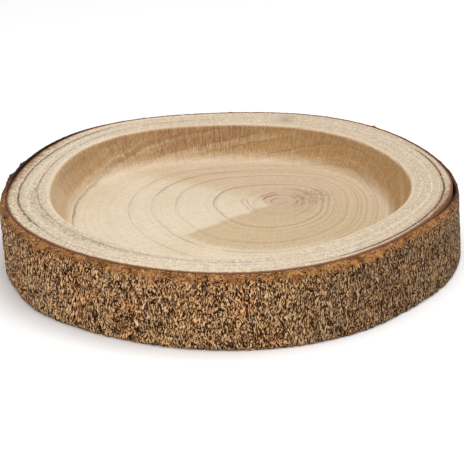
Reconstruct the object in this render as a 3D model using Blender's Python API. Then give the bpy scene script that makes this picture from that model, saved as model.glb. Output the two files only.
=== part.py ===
"""Wood slice tray: a slab sawn across a trunk, bark left on, with a round recess cut in its top.

The slice grew and was cut as one piece, so it is one closed solid. Metres, +Z up. It stands on its
sawn underside at z = 0, with the origin under the middle of its bounding box and its front at -Y.
"""

import math

import bpy
import numpy as np

# Driving dimensions, in metres.
THICKNESS = 0.0485
TRUNK_RADIUS = 0.1479  # mean radius of the trunk under its thinnest bark
BARK_THICKNESS = 0.0036
THICK_SIDE = -103.0  # bearing of the side where the bark is thickest, in degrees
THICK_SIDE_EXTRA = 0.0030  # extra bark on that side, in place of wood
RECESS_RADIUS = 0.1208  # mean radius of the recess at its lip
RECESS_DEPTH = 0.0230
WALL_RUN = 0.0145  # how far the recess wall slopes inwards between lip and floor
LIP_ROUND = 0.0025
COVE_ROUND = 0.0060
WORN_BAND = 0.0055  # height of the top band where the bark is rubbed down
WORN_THICKNESS = 0.0012  # bark that is left at the top of that band
TOP_ROUND = 0.0006  # height over which the rubbed bark rounds in to the wood
EASED_EDGE = 0.0015  # rounding of the bark's lower edge
TRUNK_LEAN = 0.0030  # how far the trunk stands towards +X at the underside
RECESS_SHIFT = (-0.0001, 0.0022)  # where the recess is cut, seen from the trunk's middle
RIDGE_HEIGHT = 0.0008  # how far bark ridges stand proud of, and furrows lie below, the mean bark

# An outline is a circle with lobes: (waves round the circle, share of the radius, crest in degrees).
TRUNK_LOBES = ((2, 0.0273, 55.0), (3, 0.0057, 33.0), (4, 0.0052, 32.0), (5, 0.0107, -12.0), (6, 0.0041, 4.0))
RECESS_LOBES = ((2, 0.0241, 67.0), (3, 0.0205, 21.0), (5, 0.0118, -12.0))

# Bark ridges are crossing waves: (waves round the trunk, waves up its height, share of the height).
BARK_WAVES = ((17, 0.6, 0.45), (26, -0.9, 0.35), (38, 1.6, 0.20))

# Mesh fineness.
COLUMNS = 152
SIDE_ROWS = 6
ARC_POINTS = 5

SAWN_WOOD = {"colour": (0.70, 0.56, 0.39, 1.0), "roughness": 0.75}
BARK = {"colour": (0.22, 0.12, 0.06, 1.0), "roughness": 0.95}


def clear_scene():
    """Remove whatever the scene holds."""
    for item in list(bpy.data.objects):
        bpy.data.objects.remove(item, do_unlink=True)


def make_material(name, finish):
    """A plain Principled BSDF material."""
    material = bpy.data.materials.new(name)
    material.use_nodes = True
    shader = material.node_tree.nodes["Principled BSDF"]
    shader.inputs["Base Color"].default_value = finish["colour"]
    shader.inputs["Roughness"].default_value = finish["roughness"]
    shader.inputs["Metallic"].default_value = 0.0
    return material


def lobed_radius(mean, lobes, angle):
    """Radius of an outline: its mean radius, swelled and pinched by each lobe's cosine wave."""
    swell = sum(share * np.cos(waves * (angle - math.radians(crest))) for waves, share, crest in lobes)
    return mean * (1.0 + swell)


def ring(radius, angle, height, middle):
    """One closed ring of points round a middle (x, y), level at the given height."""
    across = middle[0] + radius * np.cos(angle)
    deep = middle[1] + radius * np.sin(angle)
    return np.column_stack((across, deep, np.full_like(angle, height)))


def bark_thickness(height):
    """Bark on the thin side: eased at the foot, full up the side, rubbed down near the top."""
    heights = (0.0, EASED_EDGE, THICKNESS - WORN_BAND, THICKNESS - TOP_ROUND, THICKNESS)
    amounts = (BARK_THICKNESS - EASED_EDGE, BARK_THICKNESS, BARK_THICKNESS, WORN_THICKNESS, 0.0)
    return np.interp(height, heights, amounts)


def extra_bark(angle):
    """Extra bark: none on the thin side, all of it on the thick side, eased between them."""
    share = np.clip(0.5 + 1.5 * np.cos(angle - math.radians(THICK_SIDE)), 0.0, 1.0)
    return THICK_SIDE_EXTRA * share * share * (3.0 - 2.0 * share)


def bark_ridges(angle, height):
    """Ridges and furrows of the bark, fading out at the foot and in the rubbed band."""
    rise = height / THICKNESS
    waves = sum(share * np.sin(turns * angle + math.tau * climb * rise) for turns, climb, share in BARK_WAVES)
    fade = np.interp(height, (0.0, 4 * EASED_EDGE, THICKNESS - WORN_BAND, THICKNESS), (0.0, 1.0, 0.7, 0.0))
    return RIDGE_HEIGHT * fade * waves


def side_rings(angle):
    """Rings up the bark, from the underside's edge to the edge of the sawn top."""
    between = np.linspace(EASED_EDGE, THICKNESS - WORN_BAND, SIDE_ROWS)
    trunk = lobed_radius(TRUNK_RADIUS, TRUNK_LOBES, angle)
    rings = []
    for height in (0.0, *between, THICKNESS - TOP_ROUND, THICKNESS):
        rubbed = np.interp(height, (THICKNESS - WORN_BAND, THICKNESS - TOP_ROUND), (0.0, 1.0))
        radius = trunk + bark_thickness(height) - rubbed * extra_bark(angle) + bark_ridges(angle, height)
        middle = (TRUNK_LEAN * (1.0 - height / THICKNESS), 0.0)
        rings.append(ring(radius, angle, height, middle))
    return rings


def rounded_corner(before, corner, after, radius):
    """Points of the arc that rounds a profile's corner, tangent to both of its legs."""
    before, corner, after = (np.array(point) for point in (before, corner, after))
    leg_in = (before - corner) / np.linalg.norm(before - corner)
    leg_out = (after - corner) / np.linalg.norm(after - corner)
    half_angle = 0.5 * math.acos(float(leg_in @ leg_out))
    bisector = (leg_in + leg_out) / np.linalg.norm(leg_in + leg_out)
    centre = corner + bisector * radius / math.sin(half_angle)
    start = corner + leg_in * radius / math.tan(half_angle) - centre
    end = corner + leg_out * radius / math.tan(half_angle) - centre
    turn = math.pi - 2.0 * half_angle
    share = np.linspace(0.0, 1.0, ARC_POINTS)[:, None]
    return centre + (np.sin((1.0 - share) * turn) * start + np.sin(share * turn) * end) / math.sin(turn)


def recess_rings(angle):
    """Rings down the recess: over the rounded lip, down the sloping wall and round the cove."""
    floor = THICKNESS - RECESS_DEPTH
    rim, lip = (-WALL_RUN, THICKNESS), (0.0, THICKNESS)
    foot, middle = (WALL_RUN, floor), (RECESS_RADIUS, floor)
    profile = np.vstack((rounded_corner(rim, lip, foot, LIP_ROUND), rounded_corner(lip, foot, middle, COVE_ROUND)))
    outline = lobed_radius(RECESS_RADIUS, RECESS_LOBES, angle)
    return [ring(outline - inset, angle, height, RECESS_SHIFT) for inset, height in profile]


def skin_faces(ring_count):
    """Four-sided faces between neighbouring rings, and one flat cap at each end."""
    corners = np.arange(ring_count * COLUMNS).reshape(ring_count, COLUMNS)
    onward = np.roll(corners, -1, axis=1)
    walls = np.stack((corners[:-1], onward[:-1], onward[1:], corners[1:]), axis=-1).reshape(-1, 4)
    return walls.tolist() + [corners[0, ::-1].tolist(), corners[-1].tolist()]


def build_slice():
    """The slab as one closed mesh: bark side, flat rim, recess and underside."""
    angle = np.linspace(0.0, math.tau, COLUMNS, endpoint=False)
    side = side_rings(angle)
    rings = side + recess_rings(angle)
    points = np.vstack(rings)
    points[:, :2] -= 0.5 * (points[:, :2].min(axis=0) + points[:, :2].max(axis=0))

    mesh = bpy.data.meshes.new("wood_slice")
    mesh.from_pydata(points.tolist(), [], skin_faces(len(rings)))
    mesh.materials.append(make_material("sawn_wood", SAWN_WOOD))
    mesh.materials.append(make_material("bark", BARK))
    bark_faces = (len(side) - 1) * COLUMNS
    for face in mesh.polygons[:bark_faces]:
        face.material_index = 1
    mesh.shade_smooth()
    mesh.set_sharp_from_angle(angle=math.radians(35.0))

    wood_slice = bpy.data.objects.new("wood_slice", mesh)
    bpy.context.scene.collection.objects.link(wood_slice)


clear_scene()
build_slice()
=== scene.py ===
"""Looks of a wood slice tray: a slab sawn across a trunk, bark on, with a round recess in its top.

Metres, +Z up, in the CAD part's own frame. Two closed pieces stand for the one CAD solid: the bark
ring, whose relief is real geometry, and the sawn wood with its rim, recess and underside.
"""

import logging
import math
from dataclasses import dataclass, field
from enum import Enum
from functools import cached_property
from typing import Callable

import bpy
import numpy as np
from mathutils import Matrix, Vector


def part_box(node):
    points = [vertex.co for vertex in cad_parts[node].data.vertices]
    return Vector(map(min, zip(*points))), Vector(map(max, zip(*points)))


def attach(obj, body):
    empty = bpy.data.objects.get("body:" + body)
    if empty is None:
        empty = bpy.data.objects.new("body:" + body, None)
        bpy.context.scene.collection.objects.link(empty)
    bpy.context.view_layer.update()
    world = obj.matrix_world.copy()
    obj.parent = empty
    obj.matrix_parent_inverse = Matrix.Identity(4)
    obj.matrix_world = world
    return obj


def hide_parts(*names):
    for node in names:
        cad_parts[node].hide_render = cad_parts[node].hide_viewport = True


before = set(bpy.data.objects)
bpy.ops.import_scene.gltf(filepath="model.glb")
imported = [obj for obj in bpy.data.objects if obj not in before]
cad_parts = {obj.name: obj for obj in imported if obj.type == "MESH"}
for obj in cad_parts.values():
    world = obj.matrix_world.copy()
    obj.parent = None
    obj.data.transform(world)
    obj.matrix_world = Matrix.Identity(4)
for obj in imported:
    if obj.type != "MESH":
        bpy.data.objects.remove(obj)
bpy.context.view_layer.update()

LOG = logging.getLogger("wood_slice")
NODE = "wood_slice"
BODY = "root"
BAKE_MAP = "OFBake"

Array = np.ndarray
Socket = bpy.types.NodeSocket
Colour = tuple[float, float, float, float]
Place = tuple[float, float]
Point = tuple[float, float, float]
Direction = tuple[float, float, float]


def srgb(red: int, green: int, blue: int) -> Colour:
    """Linear colour of an 8-bit screen colour, by the screen's own transfer curve.

    Args:
        red: Red, 0 to 255.
        green: Green, 0 to 255.
        blue: Blue, 0 to 255.

    Returns:
        Linear red, green, blue and an alpha of 1.
    """
    shares = (value / 255.0 for value in (red, green, blue))
    linear = (s / 12.92 if s <= 0.04045 else ((s + 0.055) / 1.055) ** 2.4 for s in shares)
    return (*linear, 1.0)


def smooth_step(value: Array, low: float | Array, high: float | Array) -> Array:
    """Ease from 0 at low to 1 at high: t * t * (3 - 2 * t), with t clipped to 0..1.

    Args:
        value: Values to ease.
        low: Where the result leaves 0.
        high: Where the result reaches 1.

    Returns:
        Eased values, in the shape of the input.
    """
    share = np.clip((value - low) / (high - low), 0.0, 1.0)
    return share * share * (3.0 - 2.0 * share)


def turned_from(angle: Array, bearing_degrees: float) -> Array:
    """How far each direction is turned from a bearing: their difference, wrapped to a half turn.

    Args:
        angle: Directions, in radians.
        bearing_degrees: The bearing.

    Returns:
        Turns of -180 to 180 degrees.
    """
    return (np.degrees(angle) - bearing_degrees + 180.0) % 360.0 - 180.0


# ----------------------------------------------------------------------------- shapes


@dataclass(frozen=True)
class Lobe:
    """One cosine wave round an outline: how often it swells, how much, and where a crest lies."""

    waves: int
    share: float
    crest_degrees: float


@dataclass(frozen=True)
class SlicePlan:
    """Plan and main sizes of the slice, in metres, as the CAD solid has them."""

    trunk_radius: float = 0.1479
    bark_thickness: float = 0.0036
    thick_side_degrees: float = -103.0
    thick_side_extra: float = 0.0030
    recess_radius: float = 0.1208
    recess_depth: float = 0.0230
    wall_run: float = 0.0145
    lip_round: float = 0.0025
    cove_round: float = 0.0060
    worn_band: float = 0.0055
    trunk_lean: float = 0.0030
    recess_shift: Place = (-0.0001, 0.0022)
    trunk_lobes: tuple[Lobe, ...] = (
        Lobe(2, 0.0273, 55.0), Lobe(3, 0.0057, 33.0), Lobe(4, 0.0052, 32.0), Lobe(5, 0.0107, -12.0),
        Lobe(6, 0.0041, 4.0))
    recess_lobes: tuple[Lobe, ...] = (Lobe(2, 0.0241, 67.0), Lobe(3, 0.0205, 21.0), Lobe(5, 0.0118, -12.0))

    @cached_property
    def thickness(self) -> float:
        """Height of the slab, from the CAD solid."""
        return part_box(NODE)[1].z

    @property
    def floor_height(self) -> float:
        """Height of the recess floor."""
        return self.thickness - self.recess_depth

    @cached_property
    def middle(self) -> Place:
        """Where the trunk's middle lies in plan.

        The bark's outlines at the foot and under the worn band are laid out about the trunk's
        middle, and the middle of their common box is then put under the middle of the CAD box.

        Returns:
            Its x and y.
        """
        angle = np.linspace(0.0, math.tau, 720, endpoint=False)
        radius = self.trunk_edge(angle) + self.bark_thickness
        across = np.concatenate((radius * np.cos(angle) + self.trunk_lean, radius * np.cos(angle)))
        deep = radius * np.sin(angle)
        low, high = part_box(NODE)
        middle_x = 0.5 * (low.x + high.x) - 0.5 * (across.min() + across.max())
        middle_y = 0.5 * (low.y + high.y) - 0.5 * (deep.min() + deep.max())
        return float(middle_x), float(middle_y)

    @property
    def recess_middle(self) -> Place:
        """Where the recess's middle lies in plan."""
        return self.middle[0] + self.recess_shift[0], self.middle[1] + self.recess_shift[1]

    @staticmethod
    def lobed(mean: float, lobes: tuple[Lobe, ...], angle: Array) -> Array:
        """Radius of a lobed circle: the mean, times 1 plus each lobe's cosine wave.

        Args:
            mean: Mean radius.
            lobes: The waves round the outline.
            angle: Directions from the middle, in radians.

        Returns:
            A radius for each direction.
        """
        swell = sum(lobe.share * np.cos(lobe.waves * (angle - math.radians(lobe.crest_degrees)))
                    for lobe in lobes)
        return mean * (1.0 + swell)

    def trunk_edge(self, angle: Array) -> Array:
        """Radius of the trunk under its thinnest bark."""
        return self.lobed(self.trunk_radius, self.trunk_lobes, angle)

    def extra_bark(self, angle: Array) -> Array:
        """Extra bark: none on the thin side, all of it on the thick side, eased by cosine between."""
        share = 0.5 + 1.5 * np.cos(angle - math.radians(self.thick_side_degrees))
        return self.thick_side_extra * smooth_step(share, 0.0, 1.0)

    def wood_edge(self, angle: Array) -> Array:
        """Radius of the sawn wood, inside its bark."""
        return self.trunk_edge(angle) - self.extra_bark(angle)

    def lip_edge(self, angle: Array) -> Array:
        """Radius of the recess at its lip."""
        return self.lobed(self.recess_radius, self.recess_lobes, angle)

    def lean_at(self, height: float | Array) -> float | Array:
        """Shift of the trunk towards +X: full at the underside, none at the sawn top."""
        return self.trunk_lean * (1.0 - height / self.thickness)

    def place(self, angle: Array, radius: Array, height: Array, shift: float | Array,
              shift_back: float | Array = 0.0) -> Array:
        """Points from polar places round the trunk's middle.

        Args:
            angle: Directions from the middle, in radians.
            radius: Distances from the middle.
            height: Heights above the underside.
            shift: Extra places along X, such as the trunk's lean.
            shift_back: Extra places along Y.

        Returns:
            Points, with a last axis of x, y and z.
        """
        middle_x, middle_y = self.middle
        across = middle_x + shift + radius * np.cos(angle)
        deep = middle_y + shift_back + radius * np.sin(angle)
        return np.stack(np.broadcast_arrays(across, deep, height), axis=-1)


@dataclass(frozen=True)
class WrappedNoise:
    """Gradient noise over the unrolled bark that closes on itself round the trunk.

    Each corner of a grid of cells holds a random slope. A point blends the four slopes of its cell
    with the weights 6 t^5 - 15 t^4 + 10 t^3, and the grid's last column is its first again.
    """

    cells_round: int
    cell_height: float
    seed: int
    rows: int = 64
    gain: float = 1.6

    def sample(self, turn: Array, height: Array) -> Array:
        """Noise at places on the bark.

        Args:
            turn: Share of a turn round the trunk, 0 to 1, and past either end by wrapping.
            height: Height on the trunk, in metres.

        Returns:
            Values that mostly lie between -1 and 1, with a mean of 0.
        """
        slopes = np.random.default_rng(self.seed).uniform(0.0, math.tau, (self.rows, self.cells_round))
        across = turn * self.cells_round
        up = height / self.cell_height + 0.5 * self.rows
        column = np.floor(across).astype(int)
        row = np.floor(up).astype(int)
        x, y = across - column, up - row

        def pull(step_x: int, step_y: int) -> Array:
            """Slope of one corner of the cell, times the way from that corner."""
            slope = slopes[(row + step_y) % self.rows, (column + step_x) % self.cells_round]
            return np.cos(slope) * (x - step_x) + np.sin(slope) * (y - step_y)

        ease_x = x * x * x * (x * (6.0 * x - 15.0) + 10.0)
        ease_y = y * y * y * (y * (6.0 * y - 15.0) + 10.0)
        lower = pull(0, 0) + ease_x * (pull(1, 0) - pull(0, 0))
        upper = pull(0, 1) + ease_x * (pull(1, 1) - pull(0, 1))
        return self.gain * (lower + ease_y * (upper - lower))


@dataclass
class Skin:
    """Rings of points that become one closed mesh, with its point marks and its bake map."""

    name: str
    rings: Array
    marks: dict[str, Array]
    loops_back: bool
    chart: Callable[[Array, Array, Array], Array]

    def build(self) -> bpy.types.Object:
        """Make the mesh object.

        Neighbouring rings are joined by four-sided faces. A skin that loops back also joins its last
        ring to its first, and any other gets a pole point in the middle of each end ring.

        Returns:
            The object, linked to the scene, at the origin.
        """
        rows, columns, _ = self.rings.shape
        bands = rows if self.loops_back else rows - 1
        row, column = np.meshgrid(np.arange(bands), np.arange(columns), indexing="ij")
        row_step, column_step = np.array([0, 0, 1, 1]), np.array([0, 1, 1, 0])
        face_row = row.reshape(-1, 1) + row_step
        face_column = column.reshape(-1, 1) + column_step
        corners = (face_row % rows) * columns + face_column % columns
        maps = self.chart(face_row, face_column, face_row[:, :1] + 0.5)
        points = self.rings.reshape(-1, 3)
        marks = {name: values.reshape(-1) for name, values in self.marks.items()}
        vertex_index, map_points = corners.reshape(-1), maps.reshape(-1, 2)
        face_sizes = np.full(len(corners), 4)
        if not self.loops_back:
            points = np.vstack((points, self.rings[0].mean(axis=0), self.rings[-1].mean(axis=0)))
            marks = {n: np.append(v, (v[:columns].mean(), v[-columns:].mean())) for n, v in marks.items()}
            for first, pole, turned in ((0, len(points) - 2, True), (rows - 1, len(points) - 1, False)):
                fan, fan_maps = self.fan(first, pole, turned)
                vertex_index = np.concatenate((vertex_index, fan.reshape(-1)))
                map_points = np.vstack((map_points, fan_maps.reshape(-1, 2)))
                face_sizes = np.concatenate((face_sizes, np.full(len(fan), 3)))
        return self.make_object(points, vertex_index, face_sizes, map_points, marks)

    def fan(self, ring: int, pole: int, turned: bool) -> tuple[Array, Array]:
        """Triangles from an end ring to its pole point.

        Args:
            ring: The end ring's row.
            pole: Index of the pole point.
            turned: True where the faces look the other way, as under the slab.

        Returns:
            Corner indices and their places in the bake map.
        """
        columns = self.rings.shape[1]
        here = np.arange(columns)
        start, end = (here + 1, here) if turned else (here, here + 1)
        corners = np.stack((ring * columns + start % columns, ring * columns + end % columns,
                            np.full(columns, pole)), axis=-1)
        rows = np.full((columns, 3), float(ring))
        rows[:, 2] = -1.0 if turned else self.rings.shape[0]
        side = ring - 0.5 if ring else 0.5
        maps = self.chart(rows, np.stack((start, end, here), axis=-1), np.full((columns, 1), side))
        return corners, maps

    def make_object(self, points: Array, vertex_index: Array, face_sizes: Array,
                    map_points: Array, marks: dict[str, Array]) -> bpy.types.Object:
        """Put whole arrays into a new mesh.

        Args:
            points: Vertex places.
            vertex_index: Vertex of each face corner.
            face_sizes: Number of corners of each face.
            map_points: Bake map place of each face corner.
            marks: Named values for each vertex.

        Returns:
            The linked object.
        """
        mesh = bpy.data.meshes.new(self.name)
        mesh.vertices.add(len(points))
        mesh.vertices.foreach_set("co", points.astype(np.float32).reshape(-1))
        mesh.loops.add(len(vertex_index))
        mesh.loops.foreach_set("vertex_index", vertex_index.astype(np.int32))
        mesh.polygons.add(len(face_sizes))
        starts = np.concatenate(([0], np.cumsum(face_sizes)[:-1]))
        mesh.polygons.foreach_set("loop_start", starts.astype(np.int32))
        mesh.update(calc_edges=True)
        bake_map = mesh.uv_layers.new(name=BAKE_MAP)
        bake_map.uv.foreach_set("vector", map_points.astype(np.float32).reshape(-1))
        for name, values in marks.items():
            mesh.attributes.new(name, "FLOAT", "POINT").data.foreach_set("value", values.astype(np.float32))
        mesh.shade_smooth()
        piece = bpy.data.objects.new(self.name, mesh)
        bpy.context.scene.collection.objects.link(piece)
        return piece


# ----------------------------------------------------------------------------- shader tools


class NodeBench:
    """Adds and wires the nodes of one shader tree."""

    MIX_A, MIX_B, MIX_RESULT = 6, 7, 2

    def __init__(self, tree: bpy.types.NodeTree) -> None:
        """Work on a tree."""
        self.tree = tree

    def feed(self, socket: Socket, value: Socket | float | tuple) -> None:
        """Link a socket to an input, or set the input to a plain value.

        Args:
            socket: The input.
            value: What feeds it.
        """
        if isinstance(value, bpy.types.NodeSocket):
            self.tree.links.new(value, socket)
        else:
            socket.default_value = value

    def add(self, kind: str, inputs: dict[str | int, Socket | float | tuple] | None = None,
            **settings: object) -> bpy.types.Node:
        """Add a node.

        Args:
            kind: The node's type, without "ShaderNode".
            inputs: What feeds its inputs, by name or number.
            settings: Properties of the node itself.

        Returns:
            The node.
        """
        node = self.tree.nodes.new("ShaderNode" + kind)
        for name, value in settings.items():
            setattr(node, name, value)
        for key, value in (inputs or {}).items():
            self.feed(node.inputs[key], value)
        return node

    def math(self, operation: str, first: Socket | float, second: Socket | float = 0.0) -> Socket:
        """One arithmetic step on two values."""
        return self.add("Math", {0: first, 1: second}, operation=operation).outputs[0]

    def times(self, *values: Socket | float) -> Socket:
        """Product of all values.

        Args:
            values: The values, at least one.

        Returns:
            Their product.
        """
        product = values[0]
        for value in values[1:]:
            product = self.math("MULTIPLY", product, value)
        return product

    def plus(self, *values: Socket | float) -> Socket:
        """Sum of all values.

        Args:
            values: The values, at least one.

        Returns:
            Their sum.
        """
        total = values[0]
        for value in values[1:]:
            total = self.math("ADD", total, value)
        return total

    def lift(self, start: Socket | float, value: Socket, gain: float) -> Socket:
        """A start plus a gain times a value."""
        return self.plus(start, self.times(value, gain))

    def rest(self, share: Socket) -> Socket:
        """What a share leaves of 1."""
        return self.math("SUBTRACT", 1.0, share)

    def most(self, first: Socket, second: Socket) -> Socket:
        """The larger of two values."""
        return self.math("MAXIMUM", first, second)

    def size(self, value: Socket) -> Socket:
        """A value without its sign."""
        return self.math("ABSOLUTE", value)

    def remap(self, value: Socket, low: Socket | float, high: Socket | float, to_low: float = 0.0,
              to_high: float = 1.0) -> Socket:
        """Ease a value's range to another range, and clamp it there.

        Args:
            value: The value.
            low: Where the result is to_low; it may lie above high.
            high: Where the result is to_high.
            to_low: Result at low.
            to_high: Result at high.

        Returns:
            The eased value.
        """
        inputs = {"Value": value, "From Min": low, "From Max": high, "To Min": to_low, "To Max": to_high}
        return self.add("MapRange", inputs, interpolation_type="SMOOTHSTEP").outputs["Result"]

    def band(self, value: Socket, start: float, full: float, still: float, end: float) -> Socket:
        """1 while a value lies between full and still, eased to 0 at start and at end."""
        return self.times(self.remap(value, start, full), self.remap(value, end, still))

    def mix(self, share: Socket | float, base: Socket | Colour, top: Socket | Colour,
            blend: str = "MIX") -> Socket:
        """Lay one colour over another by a share.

        Args:
            share: How much of the top colour shows.
            base: Colour below.
            top: Colour above.
            blend: Blender's way of mixing them.

        Returns:
            The mixed colour.
        """
        inputs = {0: share, self.MIX_A: base, self.MIX_B: top}
        node = self.add("Mix", inputs, data_type="RGBA", blend_type=blend)
        return node.outputs[self.MIX_RESULT]

    def tint(self, base: Socket | Colour, top: Socket | Colour, *shares: Socket | float) -> Socket:
        """Lay one colour over another by the product of all shares."""
        return self.mix(self.times(*shares), base, top)

    def noise(self, vector: Socket, scale: float | Socket, detail: float = 2.0, roughness: float = 0.5,
              distortion: float = 0.0) -> Socket:
        """Smooth noise.

        Args:
            vector: Places it is read at.
            scale: Waves to a unit of the places.
            detail: How many finer layers it has.
            roughness: How strong each finer layer is.
            distortion: How far it is pushed about by itself.

        Returns:
            Values of about 0.5 in the mean.
        """
        inputs = {"Vector": vector, "Scale": scale, "Detail": detail, "Roughness": roughness,
                  "Distortion": distortion}
        return self.add("TexNoise", inputs).outputs["Fac"]

    def swing(self, vector: Socket, scale: float, detail: float = 2.0) -> Socket:
        """Smooth noise about 0, mostly within 0.25 of it."""
        return self.plus(self.noise(vector, scale, detail, 0.55), -0.5)

    def years(self, way: Socket, scale: float) -> Socket:
        """Noise along one value, which gives it the uneven bands of years of growth."""
        inputs = {"W": way, "Scale": scale, "Detail": 2.0, "Roughness": 0.6}
        return self.add("TexNoise", inputs, noise_dimensions="1D").outputs["Fac"]

    def vector(self, operation: str, *inputs: Socket | Direction) -> Socket:
        """One step on vectors."""
        return self.add("VectorMath", dict(enumerate(inputs)), operation=operation).outputs["Vector"]

    def dot(self, vector: Socket, direction: Direction) -> Socket:
        """How far a vector goes in a direction."""
        return self.add("VectorMath", {0: vector, 1: direction}, operation="DOT_PRODUCT").outputs["Value"]

    def length(self, vector: Socket) -> Socket:
        """Length of a vector."""
        return self.add("VectorMath", {0: vector}, operation="LENGTH").outputs["Value"]

    def stretch(self, vector: Socket, across: float, along: float) -> Socket:
        """Scale a vector by one factor in plan and another up the trunk."""
        return self.vector("MULTIPLY", vector, (across, across, along))

    def in_plan(self, here: Socket, place: Place) -> Socket:
        """Level way from a place in plan to the surface point."""
        return self.stretch(self.vector("SUBTRACT", here, (*place, 0.0)), 1.0, 0.0)

    def heading(self, here: Socket, middle: Place) -> Socket:
        """Unit vector in plan from a middle to the surface point."""
        return self.vector("NORMALIZE", self.in_plan(here, middle))

    def wrapped(self, around: Socket, here: Socket, across: float, along: float) -> Socket:
        """Pattern place on an upright wall, by direction and height.

        Args:
            around: Unit vector in plan from the wall's middle.
            here: The surface point.
            across: Factor on the direction.
            along: Factor on the height.

        Returns:
            The place.
        """
        raised = self.vector("MULTIPLY", here, (0.0, 0.0, along))
        return self.vector("MULTIPLY_ADD", around, (across, across, 0.0), raised)

    def dashes(self, heading: Socket, distance: Socket, across: float, along: float) -> Socket:
        """Noise in grains that lie along or across the ways out from a middle.

        Args:
            heading: Unit vector in plan from the middle.
            distance: Way from the middle.
            across: Grains to a radian.
            along: Grains to a metre of distance.

        Returns:
            Values about 0.
        """
        far = self.add("CombineXYZ", {2: self.times(distance, along)}).outputs[0]
        place = self.vector("MULTIPLY_ADD", heading, (across, across, 0.0), far)
        return self.plus(self.noise(place, 1.0, 3.0, 0.65), -0.5)

    def warped(self, vector: Socket, scale: float, reach: float) -> Socket:
        """Places pushed about by slow noise, so that a pattern on them bends.

        Args:
            vector: The places.
            scale: Waves of the noise to a metre.
            reach: How far it pushes, in metres.

        Returns:
            The pushed places.
        """
        push = self.add("TexNoise", {"Vector": vector, "Scale": scale, "Detail": 1.0}).outputs["Color"]
        even = self.vector("SUBTRACT", push, (0.5, 0.5, 0.5))
        return self.vector("MULTIPLY_ADD", even, (reach, reach, reach), vector)

    def mark(self, name: str) -> Socket:
        """A point mark of the piece, as a value."""
        return self.add("Attribute", attribute_name=name).outputs["Fac"]

    def here(self) -> Socket:
        """The surface point, in the frame's metres."""
        return self.add("TexCoord").outputs["Object"]

    def ramp(self, value: Socket, stops: tuple[tuple[float, Colour], ...]) -> Socket:
        """Colour by value, blended evenly between stops.

        Args:
            value: The value.
            stops: Values and their colours, in rising order.

        Returns:
            The colour.
        """
        node = self.add("ValToRGB", {0: value})
        ramp = node.color_ramp
        while len(ramp.elements) < len(stops):
            ramp.elements.new(1.0)
        for element, (place, colour) in zip(ramp.elements, stops):
            element.position = place
            element.color = colour
        return node.outputs["Color"]

    def use(self, group: bpy.types.NodeTree, inputs: dict[str, Socket | float]) -> Socket:
        """Place a node group, and return its one output."""
        return self.add("Group", inputs, node_tree=group).outputs[0]


class EffectGroups:
    """Shader effects that bark and wood share, each built once."""

    @staticmethod
    def open_group(name: str, values: dict[str, float]) -> tuple[NodeBench, bpy.types.NodeOutputs]:
        """Start a group with a vector and some numbers in, and one number out.

        Args:
            name: The group's name.
            values: Its number inputs, with what each is when unset.

        Returns:
            The bench for its nodes, and its inputs as sockets to read.
        """
        tree = bpy.data.node_groups.new(name, "ShaderNodeTree")
        tree.interface.new_socket("Vector", in_out="INPUT", socket_type="NodeSocketVector")
        for label, value in values.items():
            number = tree.interface.new_socket(label, in_out="INPUT", socket_type="NodeSocketFloat")
            number.default_value = value
        tree.interface.new_socket("Value", in_out="OUTPUT", socket_type="NodeSocketFloat")
        return NodeBench(tree), tree.nodes.new("NodeGroupInput").outputs

    @staticmethod
    def close_group(bench: NodeBench, given: bpy.types.NodeOutputs, pattern: Socket) -> bpy.types.NodeTree:
        """Cut a pattern to a soft mask between the inputs Low and High, and give that out.

        Args:
            bench: The group's bench.
            given: Its inputs.
            pattern: The pattern.

        Returns:
            The group.
        """
        result = bench.tree.nodes.new("NodeGroupOutput")
        bench.feed(result.inputs[0], bench.remap(pattern, given["Low"], given["High"]))
        return bench.tree

    @classmethod
    def fibre(cls) -> bpy.types.NodeTree:
        """Fibres up the trunk: noise that is fine in plan and long in height.

        On a sawn end it shows as pores, and on a wall as streaks.

        Returns:
            The group.
        """
        sizes = {"Across": 800.0, "Along": 40.0, "Low": 0.5, "High": 0.7}
        bench, given = cls.open_group("fibre", sizes)
        scale = bench.add("CombineXYZ", {0: given["Across"], 1: given["Across"], 2: given["Along"]})
        place = bench.vector("MULTIPLY", given["Vector"], scale.outputs[0])
        return cls.close_group(bench, given, bench.noise(place, 1.0, 3.0, 0.6))

    @classmethod
    def patches(cls) -> bpy.types.NodeTree:
        """Soft irregular patches: low, slightly distorted noise.

        Returns:
            The group.
        """
        bench, given = cls.open_group("patches", {"Scale": 20.0, "Low": 0.45, "High": 0.65})
        return cls.close_group(bench, given, bench.noise(given["Vector"], given["Scale"], 3.0, 0.55, 0.4))


@dataclass(frozen=True)
class Effects:
    """The shared node groups, ready to place in materials."""

    fibre: bpy.types.NodeTree
    patches: bpy.types.NodeTree


@dataclass(frozen=True)
class Bump:
    """Relief that is too fine for the mesh: how much of it shows, and how deep it is in metres."""

    strength: float
    depth: float

    def wire(self, bench: NodeBench, shader: bpy.types.Node, height: Socket) -> None:
        """Feed the shader's normal from a height."""
        node = bench.add("Bump", {"Strength": self.strength, "Distance": self.depth, "Height": height})
        bench.feed(shader.inputs["Normal"], node.outputs["Normal"])


def new_material(name: str) -> tuple[bpy.types.Material, NodeBench, bpy.types.Node]:
    """Start a node material.

    Args:
        name: The material's name.

    Returns:
        The material, a bench on its tree, and its Principled BSDF.
    """
    material = bpy.data.materials.new(name)
    material.use_nodes = True
    return material, NodeBench(material.node_tree), material.node_tree.nodes["Principled BSDF"]


# ----------------------------------------------------------------------------- growth of the wood


@dataclass(frozen=True)
class Ring:
    """The end of one year's growth: its share of the way out, and how dark its line is.

    The line is drawn with one strength on the left of the pith and another on the right.
    """

    share: float
    left: float
    right: float


@dataclass(frozen=True)
class RingBend:
    """A bulge of the rings in one direction from the pith, or a dent where the amount is negative."""

    bearing_degrees: float
    spread_degrees: float
    amount: float


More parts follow.
